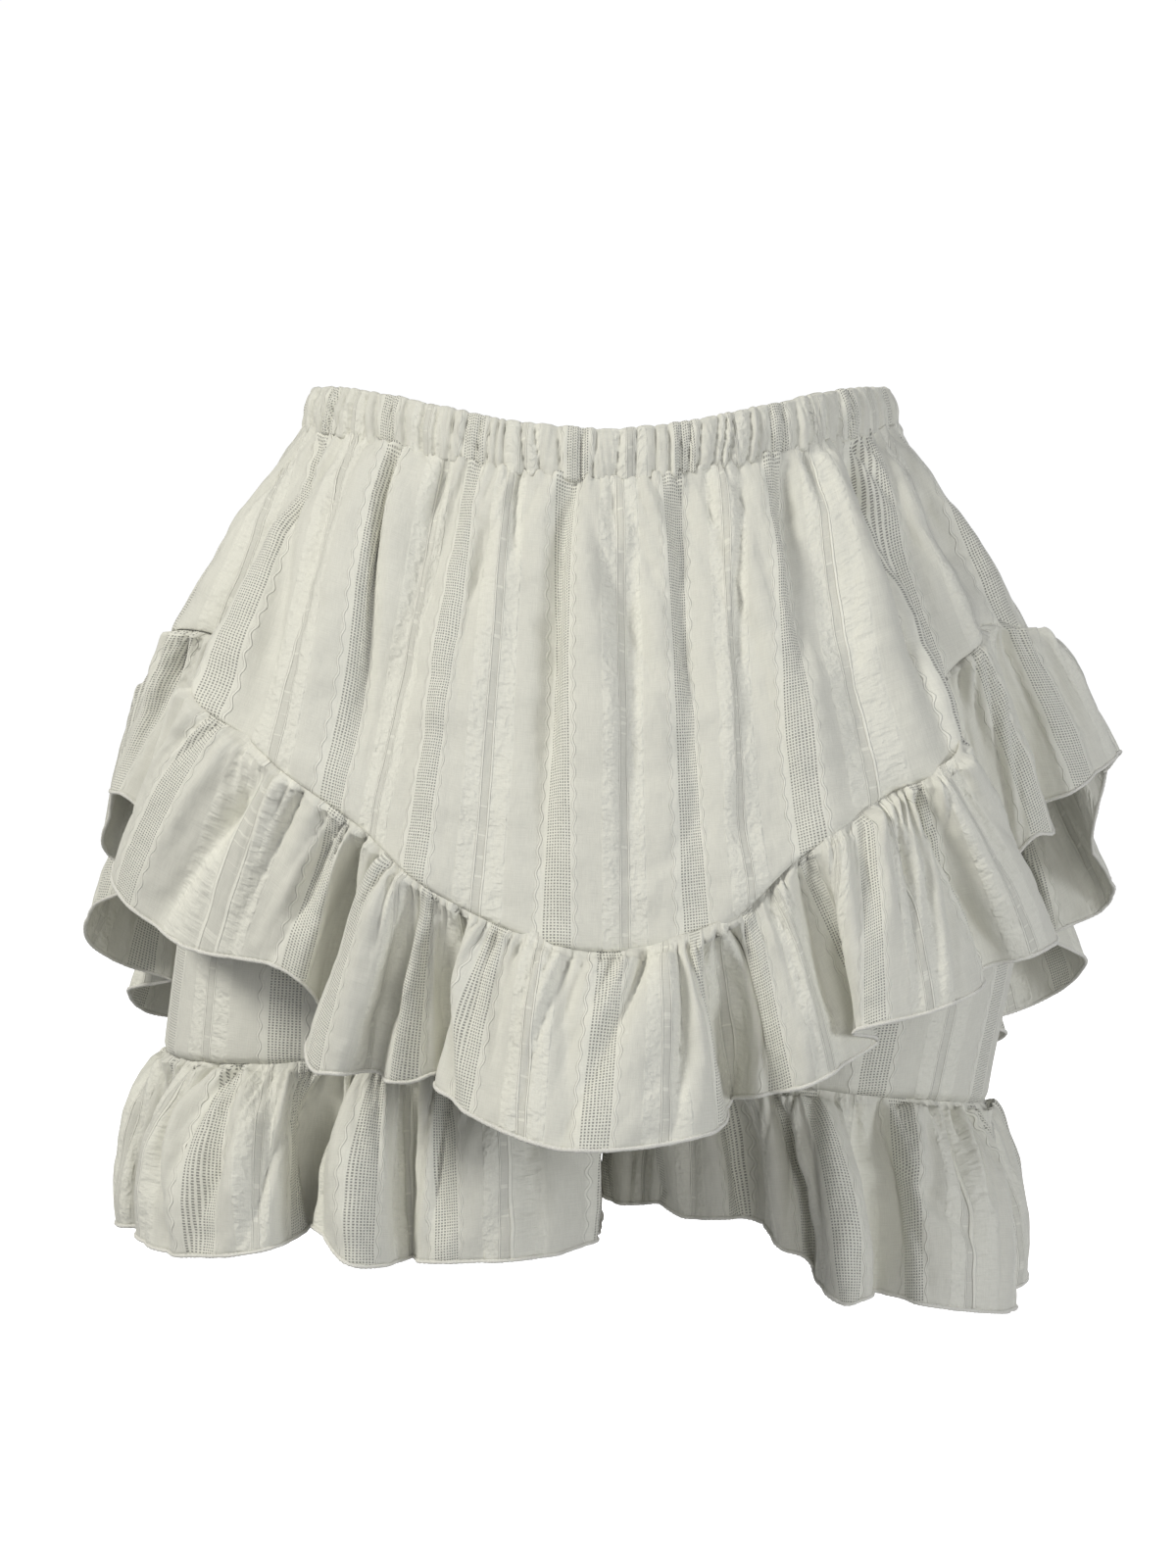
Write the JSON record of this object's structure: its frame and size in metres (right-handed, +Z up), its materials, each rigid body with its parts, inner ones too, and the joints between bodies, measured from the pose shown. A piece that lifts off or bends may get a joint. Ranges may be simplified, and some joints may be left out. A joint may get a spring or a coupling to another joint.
{
  "type": "skort",
  "caption": "Short cotton skort: shorts with a ruffle round each leg under a full overskirt with curved ruffled hems, hanging from one gathered elastic waist casing.",
  "frame": {"origin": "the middle of the waist opening, at the height of the mount waist, where the wearer's waist holds the garment up", "axes": "+Z up the wearer's body; the front faces -Y; +X is the wearer's left side, which is on the viewer's right"},
  "size_m": [0.4862, 0.4076, 0.4062],
  "materials": {
    "waistband": "off-white striped cotton gathered over elastic",
    "overskirt": "off-white cotton with openwork stripes",
    "ruffle": "off-white cotton with openwork stripes and a fine overlocked hem",
    "shorts": "off-white cotton with openwork stripes"
  },
  "bodies": {
    "root": {"waistband": "waistband", "overskirt_front": "overskirt", "overskirt_back": "overskirt", "ruffle_front": "ruffle", "ruffle_back": "ruffle", "shorts_front_right": "shorts", "shorts_front_left": "shorts", "shorts_back_right": "shorts", "shorts_back_left": "shorts", "leg_ruffle_right": "ruffle", "leg_ruffle_left": "ruffle"}
  },
  "joints": []
}
